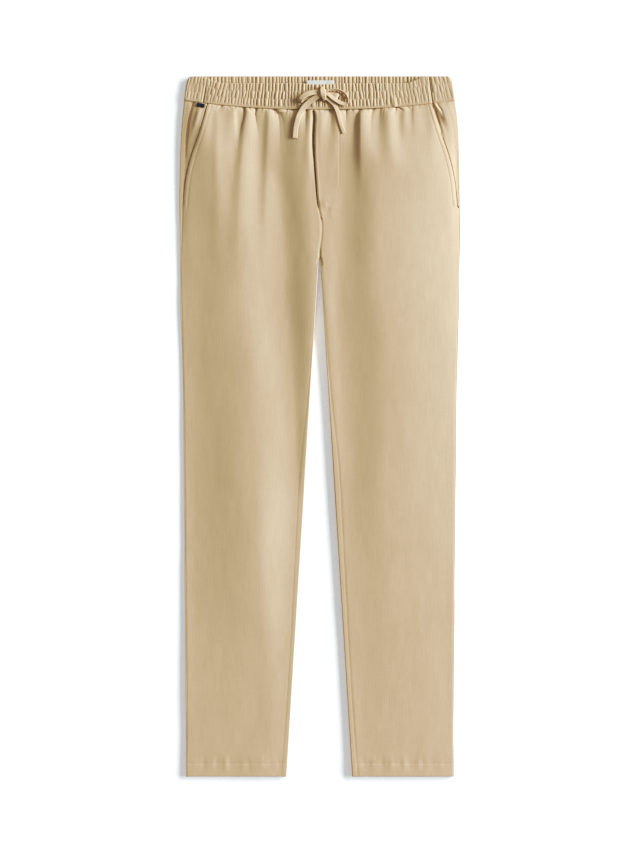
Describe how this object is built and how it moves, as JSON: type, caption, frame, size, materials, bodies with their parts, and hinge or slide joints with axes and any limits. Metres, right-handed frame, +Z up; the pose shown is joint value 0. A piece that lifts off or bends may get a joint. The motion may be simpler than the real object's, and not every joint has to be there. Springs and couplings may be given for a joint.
{
  "type": "pull-on drawstring chinos laid flat",
  "caption": "Full-length pull-on chinos with an elasticated drawstring waist, slant pockets and a stitched fly, laid flat on their back.",
  "frame": {"origin": "on the surface that the chinos lie on, under the middle of their outline", "axes": "+Z up from that surface, +Y from the hems to the waist, +X to the wearer's left"},
  "size_m": [0.4394, 1.1, 0.0167],
  "materials": {
    "twill": "matt cotton and linen twill in sand beige, with a faint upright slub",
    "gathered_band": "the same matt twill, gathered over elastic into fine pleats",
    "tape": "matt self-fabric tape, folded and edge-stitched",
    "label_weave": "smooth off-white woven label, plain",
    "tab_weave": "plain dark blue woven tab"
  },
  "bodies": {
    "root": {"front_left": "twill", "front_right": "twill", "back_left": "twill", "back_right": "twill", "pocket_facing_left": "twill", "pocket_facing_right": "twill", "fly_shield": "twill", "waistband_front": "gathered_band", "waistband_back": "gathered_band", "waist_label": "label_weave", "pocket_tab": "tab_weave", "drawstring_knot": "tape", "drawstring_stem_left": "tape", "drawstring_stem_right": "tape", "drawstring_loop_left": "tape", "drawstring_loop_right": "tape", "drawstring_tail_left": "tape", "drawstring_tail_right": "tape"}
  },
  "joints": []
}
